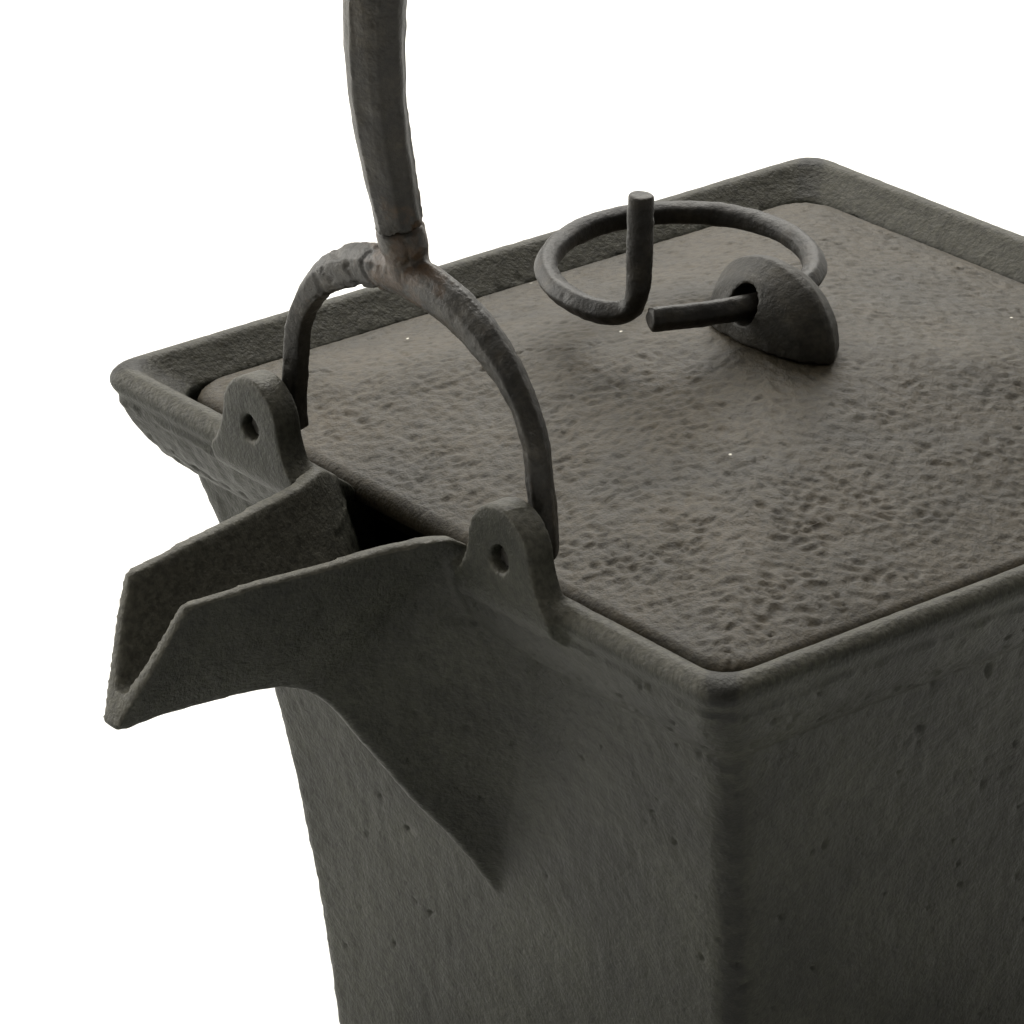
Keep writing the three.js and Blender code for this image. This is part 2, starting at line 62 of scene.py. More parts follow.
HEIGHT = 106.0  # resting face to rim top
RIM_HALF = 65.0
SHOULDER_Z = 91.3  # line under the flared rim
SHOULDER_HALF = 57.0
BASE_HALF = 44.6
LIP = 2.1  # radius of the rolled lip
CREASE_Z = HEIGHT - 2 * LIP
SEAT_HALF = 57.4  # wall of the lid's seat

LID_HALF = 57.0
LID_EDGE_BOTTOM = 99.7
LID_EDGE_TOP = 102.6
LID_TOP = 113.6
LID_POWER = 1.25  # 1 is a plain pyramid
LID_CORNER = 6.0
LID_WALL = 3.0
FLANGE_OUT = 52.2
FLANGE_IN = 49.6
FLANGE_BOTTOM = 94.7
DIMPLE = 1.9  # across one dimple
LID_CELL = 0.41  # spacing of the lid's mesh
BORE = 2.7  # hole for the lug's tang

WASHER_TOP = 109.3
WASHER_RADIUS = 7.0
WASHER_THICK = 1.2
WASHER_HOLE = 2.7

RING_Z = 118.0
RING_RADIUS = 18.1  # to the wire's middle
RING_MIDDLE = (-17.4, -1.4)
RING_WIRE = 1.8
RING_TILT = 0.8  # back of the loop above its middle, and its front below
RING_BACK = 142  # degrees round from +X to the raised place
RING_START = 18  # degrees round from +X where the round loop starts
RING_END = 284  # and where it ends
RING_CORNER = 297  # where the wire turns up
RING_TAIL = 17.5  # upturned end

LEG_Y = 59.6  # the bail's leg line, out from the middle
CROWN_Z = 136.8  # middle of the fork's crown
ARCH_Z = 117.8  # height that the fork's arms bend round
TUBE_END_Z = 144.0  # lower ends of the grip
GRIP_MIDDLE_Z = 155.0  # height that the grip bends round
RUST_AT = (0, -60, 138)  # where the fork's neck goes into the grip

CAMERA_PLACE = (0.41409, -0.36488, 0.33963)  # metres
CAMERA_AZIMUTH = 52.26
CAMERA_ELEVATION = 24.57
CAMERA_ROLL = -1.06
CAMERA_LENS = 157.4


# ---------------------------------------------------------------- working on a piece

def only(piece):
    """Selects one piece alone and makes it the active one."""
    if bpy.context.object and bpy.context.object.mode != "OBJECT":
        bpy.ops.object.mode_set(mode="OBJECT")
    bpy.ops.object.select_all(action="DESELECT")
    piece.select_set(True)
    bpy.context.view_layer.objects.active = piece


def fresh(name):
    """Names the primitive that was just added and leaves it the only thing selected."""
    piece = bpy.context.object
    piece.name = name
    piece.data.name = name
    only(piece)
    return piece


def settle(piece):
    """Puts a piece's place into its mesh."""
    only(piece)
    bpy.ops.object.transform_apply(location=True, rotation=True, scale=True)


def finish_with(piece, kind, **settings):
    """Adds a modifier with its settings and applies it."""
    only(piece)
    modifier = piece.modifiers.new(kind.lower(), kind)
    for key, value in settings.items():
        setattr(modifier, key, value)
    bpy.ops.object.modifier_apply(modifier=modifier.name)


def cut_away(piece, tool):
    """Takes the tool's shape out of the piece and deletes the tool."""
    finish_with(piece, "BOOLEAN", object=tool, operation="DIFFERENCE", solver="EXACT")
    bpy.data.objects.remove(tool)


def from_cad(name, node):
    """A merged copy of a CAD node's mesh, to be given its cast or forged skin."""
    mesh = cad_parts[node].data.copy()
    mesh.materials.clear()
    piece = bpy.data.objects.new(name, mesh)
    bpy.context.scene.collection.objects.link(piece)
    only(piece)
    bpy.ops.object.mode_set(mode="EDIT")
    bpy.ops.mesh.select_all(action="SELECT")
    bpy.ops.mesh.remove_doubles(threshold=0.005 * MM)
    bpy.ops.object.mode_set(mode="OBJECT")
    return piece


def skin(piece, voxel, smoothing):
    """One even skin over the whole piece, its corners softened as a mould or a hammer leaves them."""
    coarse = 1.0
    finish_with(piece, "REMESH", mode="VOXEL", voxel_size=voxel * coarse * MM)
    finish_with(piece, "SMOOTH", factor=0.5, iterations=round(smoothing / coarse))


def roughen(piece, depth_at):
    """Moves each point along its normal by depth_at(place, normal), all in millimetres."""
    mesh = piece.data
    count = len(mesh.vertices)
    places = np.empty(count * 3, np.float32)
    normals = np.empty(count * 3, np.float32)
    mesh.vertices.foreach_get("co", places)
    mesh.vertex_normals.foreach_get("vector", normals)
    places = places.reshape(-1, 3)
    normals = normals.reshape(-1, 3)
    depth = np.array([
        depth_at(Vector(place) / MM, normal) for place, normal in zip(places.tolist(), normals.tolist())
    ])
    places += normals * (depth * MM)[:, None]
    mesh.vertices.foreach_set("co", places.ravel())
    keep_inside(piece)


def keep_inside(piece):
    """Draws back any point that lies outside the CAD model's box."""
    mesh = piece.data
    places = np.empty(len(mesh.vertices) * 3, np.float32)
    mesh.vertices.foreach_get("co", places)
    low, high = (np.array(corner) for corner in cad_box)
    places = np.clip(places.reshape(-1, 3), low, high)
    mesh.vertices.foreach_set("co", places.ravel().astype(np.float32))
    mesh.update()


def thin_out(piece, triangles):
    """Brings a dense skin down to a number of triangles, flat places first."""
    mesh = piece.data
    mesh.calc_loop_triangles()
    have = len(mesh.loop_triangles)
    if have > triangles:
        finish_with(piece, "DECIMATE", ratio=triangles / have)
        keep_inside(piece)


def smooth_shade(piece, angle=50):
    only(piece)
    bpy.ops.object.shade_smooth_by_angle(angle=math.radians(angle))


# ---------------------------------------------------------------- lines and bars

def smooth_line(points, step):
    """Points a step apart on a smooth curve through the given points, in millimetres."""
    points = [Vector(p) for p in points]
    padded = [2 * points[0] - points[1], *points, 2 * points[-1] - points[-2]]
    fine = []
    for before, start, end, after in zip(padded, padded[1:], padded[2:], padded[3:]):
        span = (end - start).length
        reach_in = (end - before) * span / ((end - start).length + (start - before).length)
        reach_out = (after - start) * span / ((after - end).length + span)
        fine += interpolate_bezier(start, start + reach_in / 3, end - reach_out / 3, end, 24)[:-1]
    fine.append(points[-1])
    return even_line(fine, step)


def even_line(points, step):
    """The same line with its points evenly spaced."""
    places = np.array([tuple(p) for p in points])
    along = np.concatenate([[0], np.cumsum(np.linalg.norm(np.diff(places, axis=0), axis=1))])
    count = max(2, round(along[-1] / step))
    at = np.linspace(0, along[-1], count + 1)
    return [Vector(p) for p in np.stack([np.interp(at, along, places[:, k]) for k in range(3)], 1)]


def forge_bar(name, line, section, sides, side):
    """A bar drawn out along a line. section(t) gives its half width, along side, and half thickness."""
    bpy.ops.mesh.primitive_circle_add(vertices=sides, radius=1, fill_type="NGON")
    bar = fresh(name)
    bpy.ops.object.mode_set(mode="EDIT")
    bpy.ops.mesh.select_all(action="SELECT")
    mesh = bmesh.from_edit_mesh(bar.data)
    across = Vector(side)
    before = Matrix.Identity(4)
    count = len(line) - 1
    for k, place in enumerate(line):
        along = (line[min(k + 1, count)] - line[max(k - 1, 0)]).normalized()
        across = (across - along * across.dot(along)).normalized()
        wide, thick = section(k / count)
        turn = Matrix((across, along.cross(across), along)).transposed().to_4x4()
        here = Matrix.Translation(place * MM) @ turn @ Matrix.Diagonal((wide * MM, thick * MM, 1, 1))
        if k:
            bpy.ops.mesh.extrude_region_move()
            mesh = bmesh.from_edit_mesh(bar.data)
        chosen = [v for v in mesh.verts if v.select]
        bmesh.ops.transform(mesh, matrix=here @ before.inverted(), verts=chosen)
        bmesh.update_edit_mesh(bar.data)
        before = here
    bpy.ops.mesh.select_all(action="SELECT")
    bpy.ops.mesh.normals_make_consistent(inside=False)
    bpy.ops.object.mode_set(mode="OBJECT")
    return bar


def mix(a, b, t):
    """The value a share t of the way from a to b."""
    return a + (b - a) * t


def ease(t, low, high):
    """0 below low and 1 above high, with a soft step between."""
    t = min(1.0, max(0.0, (t - low) / (high - low)))
    return t * t * (3 - 2 * t)


def waves(place, size, seed=0.0):
    """Smooth noise from about -1 to 1 with lumps of a size in millimetres."""
    return 2 * noise.noise(place / size + Vector((seed, 1.7 * seed, 0.3 * seed)))


# ---------------------------------------------------------------- cast body

def body_half(z):
    """Outside half width of the body wall at a height."""
    share = min(1.0, max(0.0, z / SHOULDER_Z))
    return BASE_HALF + (SHOULDER_HALF - BASE_HALF) * 0.5 * (share + share ** 3)


def body_relief(place, normal):
    """The sand-cast skin: slow waves, a fine peel, and pits that gather near the rim and corners."""
    x, y, z = place
    out = max(abs(x), abs(y))
    slow = 0.06 * waves(place, 16) + 0.03 * waves(place, 7, 3.0)
    if z < SHOULDER_Z and out < body_half(z) - 1.5:
        return 0.5 * slow
    on_lip = ease(z, CREASE_Z - 0.6, CREASE_Z + 0.4) * ease(out, SEAT_HALF - 1, SEAT_HALF + 2)
    on_spout = ease(-y, RIM_HALF, RIM_HALF + 4)
    high = ease(z, 45, 88)
    corner = ease(min(abs(x), abs(y)), out - 16, out - 3)
    busy = max(high, 0.8 * corner)
    fine = 0.055 * waves(place, 1.7, 5.0) + 0.045 * waves(place, 1.0, 8.0)
    drag = 0.05 * waves(Vector((x * 0.6, y * 0.6, z * 0.22)), 1.1, 6.0)
    pit_noise = noise.noise(place / 1.8 + Vector((4, 9, 2)))
    crowd = 0.1 + 0.5 * noise.noise(place / 9 + Vector((7, 3, 5))) + 0.35 * busy
    pits = -0.42 * ease(pit_noise, mix(0.66, 0.34, crowd), 0.8)
    ragged = abs(z - SHOULDER_Z - 3 - 0.5 * waves(place, 6, 2.0))
    pits -= 0.3 * (1 - ease(ragged, 0.2, 0.9)) * ease(waves(place, 2.2, 11.0), 0.0, 0.5)
    crust_line = abs(z - CREASE_Z + 0.7 - 0.3 * waves(place, 9, 7.0))
    crust = 0.22 * (1 - ease(crust_line, 0.1, 0.7)) * ease(waves(place, 3.0, 4.0), -0.5, 0.4) * (1 - on_spout)
    inside_trough = on_spout * ease(normal[2], 0.1, 0.4)
    cut_edge = on_spout * max(ease(normal[2], 0.6, 0.85), ease(-normal[1], 0.5, 0.8))
    calm = (1 - 0.75 * on_lip) * (1 - 0.4 * on_spout) * (1 - 0.8 * cut_edge)
    fine *= mix(0.6, 1.2, busy) * (1 + 0.6 * inside_trough)
    skin_depth = fine + drag * (1 - corner) + pits * (1 - on_spout)
    return slow * mix(1, 0.5, on_lip) + calm * (skin_depth + crust)


def vessel():
    piece = from_cad("kettle_body", "vessel")
    skin(piece, voxel=0.46, smoothing=3)
    roughen(piece, body_relief)
    thin_out(piece, triangles=190000)
    smooth_shade(piece, angle=60)
    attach(piece, "body")
    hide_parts("vessel")
    piece.data.materials.append(cast_body_iron())
    return piece


# ---------------------------------------------------------------- lid

def lid_face_z(half):
    return LID_TOP - (LID_TOP - LID_EDGE_TOP) * (half / LID_HALF) ** LID_POWER


def rounded(x, y):
    """Draws the corner of a square ring in to a rounded one."""
    half = max(abs(x), abs(y), 1e-6)
    radius = min(LID_CORNER, 0.5 * half)
    inner = half - radius
    if abs(x) > inner and abs(y) > inner:
        corner = Vector((math.copysign(inner, x), math.copysign(inner, y)))
        away = Vector((x, y)) - corner
        away *= max(abs(away.x), abs(away.y)) / away.length
        return corner.x + away.x, corner.y + away.y
    return x, y


def lid_dimples(place, normal):
    """The lid's mould was pressed all over with a blunt tool: close dimples about 2 mm across."""
    x, y, z = place
    if normal[2] < 0.5 or z < LID_EDGE_TOP - 3:
        return 0.0
    out = max(abs(x), abs(y))
    flat = Vector((x, y, 0))
    warp = Vector((waves(flat, 3.2, 2.0), waves(flat, 3.2, 6.0), 0)) * 0.8
    near, next_near = noise.voronoi((flat + warp) / DIMPLE)[0][:2]
    dent = ease(next_near - near, 0.0, 0.55)
    deep = mix(0.55, 1.0, ease(waves(flat, 7, 5.0), -0.7, 0.6)) * mix(0.8, 1.15, ease(x - y, 20, 90))
    pit = ease(noise.noise(flat / 1.1 + Vector((3, 1, 4))), 0.05, 0.6)
    grit = 0.05 * waves(flat, 0.9, 9.0)
    slow = 0.14 * waves(flat, 12, 4.0)
    middle = mix(0.45, 1, ease(out, 5, 16))
    edge = 1 - 0.8 * ease(out, LID_HALF - 3.2, LID_HALF - 1.2)
    return (deep * (0.16 - 0.34 * dent) * middle - 0.16 * pit + grit + slow) * edge


def lid():
    top_half = LID_HALF - 1.0
    cells = round(2 * top_half / (LID_CELL * 1))
    bpy.ops.mesh.primitive_grid_add(x_subdivisions=cells, y_subdivisions=cells, size=2 * top_half * MM)
    piece = fresh("kettle_lid")
    for vertex in piece.data.vertices:
        x, y, _ = vertex.co / MM
        half = max(abs(x), abs(y))
        x, y = rounded(x, y)
        vertex.co = Vector((x, y, lid_face_z(half))) * MM
    bpy.ops.object.mode_set(mode="EDIT")
    bpy.ops.mesh.select_all(action="SELECT")
    bpy.ops.mesh.region_to_loop()
    under = [(share * LID_HALF, min(LID_TOP - LID_WALL - 1, lid_face_z(share * LID_HALF) - LID_WALL))
             for share in (0.65, 0.4, 0.12)]
    profile = [
        (LID_HALF - 0.35, LID_EDGE_TOP - 0.35),
        (LID_HALF, LID_EDGE_TOP - 1.2),
        (LID_HALF, LID_EDGE_BOTTOM + 0.3),
        (LID_HALF - 0.3, LID_EDGE_BOTTOM),
        (FLANGE_OUT, LID_EDGE_BOTTOM),
        (FLANGE_OUT, FLANGE_BOTTOM + 0.4),
        (FLANGE_OUT - 0.4, FLANGE_BOTTOM),
        (FLANGE_IN + 0.6, FLANGE_BOTTOM),
        (FLANGE_IN + 0.2, FLANGE_BOTTOM + 0.4),
        (FLANGE_IN, lid_face_z(FLANGE_IN) - LID_WALL),
        *under,
    ]
    half, z = top_half, lid_face_z(top_half)
    for next_half, next_z in profile:
        bpy.ops.mesh.extrude_edges_move(TRANSFORM_OT_translate={"value": (0, 0, (next_z - z) * MM)})
        share = next_half / half
        bpy.ops.transform.resize(value=(share, share, 1), center_override=(0, 0, next_z * MM))
        half, z = next_half, next_z
    bpy.ops.mesh.edge_face_add()
    bpy.ops.mesh.select_all(action="SELECT")
    bpy.ops.mesh.normals_make_consistent(inside=False)
    bpy.ops.object.mode_set(mode="OBJECT")
    roughen(piece, lid_dimples)
    bpy.ops.mesh.primitive_cylinder_add(vertices=32, radius=BORE * MM, depth=0.04, location=(0, 0, 0.11))
    cut_away(piece, fresh("lid_bore"))
    smooth_shade(piece, angle=60)
    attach(piece, "lid")
    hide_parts("lid")
    piece.data.materials.append(cast_lid_iron())
    return piece


# ---------------------------------------------------------------- lug, washer and ring

def lug_relief(place, normal):
    """Slow unevenness and fine grain of a small casting."""
    return 0.07 * waves(place, 5) + 0.02 * waves(place, 1.2, 3.0)


def lug():
    piece = from_cad("lid_lug_cast", "lid_lug")
    skin(piece, voxel=0.28, smoothing=4)
    roughen(piece, lug_relief)
    thin_out(piece, triangles=60000)
    smooth_shade(piece)
    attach(piece, "lid")
    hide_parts("lid_lug")
    piece.data.materials.append(smooth_iron())
    return piece


def washer():
    """A punched washer with its edges rounded over."""
    bpy.ops.mesh.primitive_cylinder_add(
        vertices=64, radius=WASHER_RADIUS * MM, depth=WASHER_THICK * MM,
        location=(0, 0, (WASHER_TOP - WASHER_THICK / 2) * MM))
    piece = fresh("lid_washer_punched")
    settle(piece)
    bpy.ops.mesh.primitive_cylinder_add(
        vertices=48, radius=WASHER_HOLE * MM, depth=0.01, location=(0, 0, WASHER_TOP * MM))
    cut_away(piece, fresh("washer_hole"))
    finish_with(piece, "BEVEL", width=0.25 * MM, segments=3, angle_limit=math.radians(40))
    smooth_shade(piece, angle=40)
    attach(piece, "lid")
    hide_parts("lid_washer")
    piece.data.materials.append(smooth_iron())
    return piece


def facets(turned, outward, count, radius):
    """Flats drawn along a bar of a radius.

    turned is the normal's share across the bar's bend, and outward is its side of the bend.
    """
    level = math.copysign(math.sqrt(max(0.0, 1 - turned * turned)), outward)
    angle = math.atan2(turned, level)
    share = angle % (2 * math.pi / count) - math.pi / count
    return radius * (math.cos(math.pi / count) / math.cos(share) - 1)


def hammered(place, blow, deep, radius):
    """Flats a blow apart, sunk deep into a bar of a radius, with the ridges and scale left between them."""
    warp = Vector((waves(place, 6, 2.0), waves(place, 6, 6.0), waves(place, 6, 9.0))) * 0.5
    away = noise.voronoi((place + warp) / blow)[0][0] * blow
    flat = min(0.0, away * away / (2 * radius) - deep)
    return flat + 0.06 * waves(place, 2.2, 4.0) + 0.03 * waves(place, 0.9, 7.0)


def ring_relief(place, normal):
    """Long flats round the loop, none on the upturned end, and hammer marks over both."""
    x, y, z = place
    away = Vector((x - RING_MIDDLE[0], y - RING_MIDDLE[1])).dot(Vector(normal[:2]))
    on_loop = 1 - ease(z, RING_Z + 2.5, RING_Z + 4.5)
    flats = 0.1 + 0.5 * on_loop * facets(normal[2], away, count=5, radius=RING_WIRE)
    return flats + hammered(place, blow=3.6, deep=0.16, radius=RING_WIRE)


def ring():
    """Hammered wire: a short end through the lug's eye, a round loop, and the other end turned up."""
    x0, y0 = RING_MIDDLE

    def around(angle):
        tilt = RING_TILT * ease(math.degrees(angle), RING_START, 80)
        rise = tilt * math.cos(angle - math.radians(RING_BACK))
        return Vector((x0 + RING_RADIUS * math.cos(angle), y0 + RING_RADIUS * math.sin(angle), RING_Z + rise))

    loop = [around(math.radians(RING_START + (RING_END - RING_START) * k / 16)) for k in range(17)]
    turn = around(math.radians(RING_CORNER))
    line = smooth_line([
        (x0 + RING_RADIUS - 5, y0 - 16.2, RING_Z + 0.5),
        (x0 + RING_RADIUS - 2.4, y0 - 8, RING_Z + 0.1),
        (x0 + RING_RADIUS - 0.9, y0, RING_Z),
        *loop,
        turn + Vector((-0.4, 0.2, 0.7)),
        turn + Vector((1.2, 0.8, 3.2)),
        turn + Vector((1.5, 1, 0.55 * RING_TAIL)),
        turn + Vector((1.9, 1, RING_TAIL)),
    ], step=1.5)

    def uneven(t):
        """The wire's half width and half thickness, which wander a little along it."""
        blow = math.sin(t * 31) * math.sin(t * 17 + 1)
        return RING_WIRE * (1.0 + 0.06 * blow), RING_WIRE * (0.98 - 0.06 * blow)

    piece = forge_bar("lid_ring_wire", line, uneven, sides=8, side=(0, 0, 1))
    finish_with(piece, "BEVEL", width=0.35 * MM, segments=2, angle_limit=math.radians(60))
    finish_with(piece, "SUBSURF", levels=2, render_levels=2)
    roughen(piece, ring_relief)
    smooth_shade(piece)
    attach(piece, "ring")
    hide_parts("lid_ring")
    piece.data.materials.append(wire_iron())
    return piece


# ---------------------------------------------------------------- bail

def fork_relief(place, normal):
    """Long flats and hammer marks, folds and scars across the left arm, and a thickened neck."""
    x, _, z = place
    arm = ease(-x, 2, 5) * (1 - ease(-x, 17, 21)) * ease(z, CROWN_Z - 16, CROWN_Z - 9)
    along = math.atan2(z - ARCH_Z, -x)
    folds = -0.26 * ease(math.sin(along * 21 + 2.5 * waves(place, 6, 3.0)), 0.5, 1.0) * arm
    scars = -0.25 * ease(noise.noise(place / 1.5 + Vector((2, 6, 1))), 0.25, 0.6) * arm
    away = x * normal[0] + (z - ARCH_Z) * normal[2]
    neck = 0.45 * ease(z, CROWN_Z + 2, CROWN_Z + 4.5) * (1 - ease(z, TUBE_END_Z - 0.4, TUBE_END_Z))
    flats = 0.1 + 0.6 * facets(normal[1], away, count=5, radius=2.3)
    return flats + hammered(place, blow=5.5, deep=0.15, radius=2.4) + folds + scars + neck


def grip_relief(place, normal):
    """Long flats drawn out along the grip, lighter blows over them, and its lower ends closed up."""
    _, y, z = place
    away = y * normal[1] + (z - GRIP_MIDDLE_Z) * normal[2]
    twist = 0.12 * waves(place, 30, 5.0)
    end = 0.5 * ease(-normal[2], 0.6, 0.9) * (1 - ease(z, TUBE_END_Z + 0.6, TUBE_END_Z + 1.2))
    flats = facets(normal[0] + twist * abs(normal[1]), away, count=7, radius=5.0)
    return 0.7 * flats + hammered(place, blow=6.5, deep=0.3, radius=5.0) * 0.8 + end


def leg_relief(place, normal):
    """Hammer marks all over the single rear leg."""
    return hammered(place, blow=4.2, deep=0.3, radius=2.4)


def weld(piece, place, reach):
    """Melts a joint together: smooths what lies within reach of a place."""
    group = piece.vertex_groups.new(name="weld")
    for vertex in piece.data.vertices:
        away = (vertex.co / MM - Vector(place)).length
        group.add([vertex.index], 1 - ease(away, 0.6 * reach, reach), "REPLACE")
    finish_with(piece, "SMOOTH", factor=0.5, iterations=30, vertex_group="weld")
    piece.vertex_groups.clear()


def forged_copy(name, node, voxel, relief):
    """One piece of the bail with its forged skin, riding on the body."""
    piece = from_cad(name, node)
    skin(piece, voxel, smoothing=5)
    if node == "handle_fork":
        weld(piece, (0, -LEG_Y, CROWN_Z + 1.5), reach=7.5)
    roughen(piece, relief)
    finish_with(piece, "SMOOTH", factor=0.5, iterations=1)
    thin_out(piece, triangles=120000)
    smooth_shade(piece, angle=70)
    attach(piece, "body")
    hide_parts(node)
    piece.data.materials.append(forged_iron())
    return piece


def bail():
    forged_copy("bail_grip", "bail_tube", voxel=0.4, relief=grip_relief)
    forged_copy("bail_fork", "handle_fork", voxel=0.28, relief=fork_relief)
    forged_copy("bail_rear_leg", "rear_hook", voxel=0.3, relief=leg_relief)


# ---------------------------------------------------------------- materials

def linear(code):
    """An sRGB hex colour as the linear colour that the shader wants."""
    channels = [int(code[k:k + 2], 16) / 255 for k in (1, 3, 5)]
    return [c / 12.92 if c <= 0.04045 else ((c + 0.055) / 1.055) ** 2.4 for c in channels] + [1]


def add_node(tree, kind, links=(), **settings):
    """Adds a node, sets what it is told, and links its inputs: (input, node, output)."""
    node = tree.nodes.new(kind)
    for key, value in settings.items():
        if key.startswith("in_"):
            socket = key[3:]
            node.inputs[int(socket) if socket.isdigit() else socket.replace("_", " ")].default_value = value
        else:
            setattr(node, key, value)
    for socket, source, output in links:
        tree.links.new(source.outputs[output], node.inputs[socket])
    return node


def ramp(tree, source, output, stops):
    """Colours or greys along a value: (position, hex colour)."""
    node = add_node(tree, "ShaderNodeValToRGB", [("Fac", source, output)])
    elements = node.color_ramp.elements
    while len(elements) < len(stops):
        elements.new(0.5)
    for element, (position, code) in zip(elements, stops):
        element.position = position
        element.color = linear(code)
    return node


def cloudy(tree, place, size, detail, roughness=0.55):
    """Noise with lumps of a size in millimetres."""
    return add_node(tree, "ShaderNodeTexNoise", [("Vector", place, "Object")],
                    in_Scale=1 / (size * MM), in_Detail=detail, in_Roughness=roughness)


def lay_over(tree, colour, factor, code):
    """Lays a colour over another by a factor. Colours and factors are a node and its output."""
    node = add_node(tree, "ShaderNodeMix", [(0, *factor), (6, *colour)], data_type="RGBA", in_7=linear(code))
    return node, 2


def between(tree, value, low, high, bottom=0.0, top=1.0, **settings):
    """A value taken from low to high onto bottom to top."""
    node = add_node(tree, "ShaderNodeMapRange", [("Value", *value)],
                    in_1=low, in_2=high, in_3=bottom, in_4=top, **settings)
    return node, "Result"


def calculate(tree, operation, first, second):
    """Adds, multiplies or otherwise puts two values together."""
    return add_node(tree, "ShaderNodeMath", [(0, *first), (1, *second)], operation=operation), "Value"


def split(tree, place, output):
    """The three parts of a place or a direction."""
    return add_node(tree, "ShaderNodeSeparateXYZ", [("Vector", place, output)])


def near_rust(tree, place, middle):
    """Rust in spots, thickest near a joint."""
    away = add_node(tree, "ShaderNodeVectorMath", [(0, place, "Object")],
                    operation="DISTANCE", in_1=Vector(middle) * MM)
    nearness = between(tree, (away, "Value"), 4 * MM, 14 * MM, 0.3, 0.0)
    stain = calculate(tree, "ADD", (cloudy(tree, place, 2.6, 4), "Fac"), nearness)
    return ramp(tree, *stain, [(0.68, "#000000"), (0.84, "#ffffff")]), "Color"


def facing_up(tree, place):
    """The upward faces, which take a painted highlight where the sky would light them."""
    facing = split(tree, place, "Normal")
    return between(tree, (facing, "Z"), 0.25, 0.9, 0.0, 0.8, interpolation_type="SMOOTHSTEP")


def inside_trough(tree, place):
    """The open inside of the spout, mostly its upward faces: paler grainy iron there, with painted light
    where the spout lies in shade.
    """
    axes = split(tree, place, "Object")
    beyond = between(tree, (axes, "Y"), -(RIM_HALF - 5) * MM, -(RIM_HALF + 5) * MM, 0.0, 0.75)
    facing = split(tree, place, "Normal")
    open_side = between(tree, (facing, "Z"), 0.0, 0.25)
    return calculate(tree, "MULTIPLY", beyond, open_side)


def corner_shade_strip(tree, place):
    """A ragged strip of painted shade down each outside corner."""
    axes = split(tree, place, "Object")
    across, deep = ((add_node(tree, "ShaderNodeMath", [(0, axes, axis)], operation="ABSOLUTE"), "Value")
                    for axis in ("X", "Y"))
    near = calculate(tree, "MINIMUM", across, deep)
    far = calculate(tree, "MAXIMUM", across, deep)
    share = calculate(tree, "DIVIDE", near, far)
    ragged = between(tree, (cloudy(tree, place, 2.2, 4), "Fac"), 0.0, 1.0, -0.03, 0.03)
    outward = add_node(tree, "ShaderNodeVectorMath", [(0, place, "Object"), (1, place, "Normal")],
                       operation="DOT_PRODUCT")
    strongest = between(tree, (outward, "Value"), 30 * MM, 60 * MM, 0.0, 0.75)
    share = calculate(tree, "ADD", share, ragged)
    strip = add_node(tree, "ShaderNodeMapRange", [("Value", *share), (4, *strongest)],
                     in_1=0.945, in_2=0.965, in_3=0.0)
    return strip, "Result"


def flecks(tree, place):
    """Single bright specks of dust, one to each patch 34 mm across."""
    level = add_node(tree, "ShaderNodeTexVoronoi", [("Vector", place, "Object")],
                     voronoi_dimensions="2D", in_Scale=1 / (34 * MM))
    return ramp(tree, level, "Distance", [(0.004, "#ffffff"), (0.007, "#000000")]), "Color"


def mottled(name, dark, mid, light, rough, grain, grain_height, cloud=14.0, rust=None, rust_near=(0, 0, 0),
            marks=0.6, shine=0.5, dust=None, painted_top_highlight=None, painted_corner_shade=None, trough_tone_and_light=None):
    """A dull surface. dark to light are its patches, cloud their size and grain its finest relief's."""
    if name in bpy.data.materials:
        return bpy.data.materials[name]
    material = bpy.data.materials.new(name)
    material.use_nodes = True
    tree = material.node_tree
    tree.nodes.clear()
    place = add_node(tree, "ShaderNodeTexCoord")

    patches = cloudy(tree, place, cloud, 5)
    colour = ramp(tree, patches, "Fac", [(0.32, dark), (0.52, mid), (0.72, light)]), "Color"
    if rust:
        colour = lay_over(tree, colour, near_rust(tree, place, rust_near), rust)
    # painted highlight: the upward faces made lighter, as the sky would light them
    if painted_top_highlight:
        colour = lay_over(tree, colour, facing_up(tree, place), painted_top_highlight)
    # the spout's paler grainy inside, lightened further by painted light on its upward faces
    if trough_tone_and_light:
        colour = lay_over(tree, colour, inside_trough(tree, place), trough_tone_and_light)
    # painted shade: a darker ragged strip down the outside corners
    if painted_corner_shade:
        colour = lay_over(tree, colour, corner_shade_strip(tree, place), painted_corner_shade)
    specks = ramp(tree, cloudy(tree, place, 0.9, 3), "Fac", [(0.35, "#8c8c8c"), (0.62, "#ffffff")])
    speckled = add_node(tree, "ShaderNodeMix", [(6, *colour), (7, specks, "Color")],
                        data_type="RGBA", blend_type="MULTIPLY", in_0=marks)
    colour = speckled, 2
    if dust:
        colour = lay_over(tree, colour, flecks(tree, place), dust)

    gloss = between(tree, (cloudy(tree, place, 3.5, 4), "Fac"), 0.0, 1.0, rough - 0.07, rough + 0.09)
    fine = cloudy(tree, place, grain, 4, 0.65)
    bump = add_node(tree, "ShaderNodeBump", [("Height", fine, "Fac")],
                    in_Strength=1.0, in_Distance=grain_height * MM)
    broad = cloudy(tree, place, 4 * grain, 3)
    bump = add_node(tree, "ShaderNodeBump", [("Height", broad, "Fac"), ("Normal", bump, "Normal")],
                    in_Strength=1.0, in_Distance=1.6 * grain_height * MM)
    shader = add_node(tree, "ShaderNodeBsdfPrincipled",
                      [("Base Color", *colour), ("Roughness", *gloss), ("Normal", bump, "Normal")],
                      in_Metallic=0.0, in_Specular_IOR_Level=shine)
    add_node(tree, "ShaderNodeOutputMaterial", [("Surface", shader, "BSDF")])
    return material


def cast_body_iron():
    # sand-cast iron, blackened: a dull green-black skin, with a painted highlight on its upward faces,
    # painted shade down its outside corners, and a paler spout inside lightened further by painted light
    return mottled(
        "blackened_sand_cast_iron", "#20211a", "#292a22", "#32332a", rough=0.52, grain=0.55,
        grain_height=0.13, shine=0.22, painted_top_highlight="#4a483e", painted_corner_shade="#131311", trough_tone_and_light="#56544b")


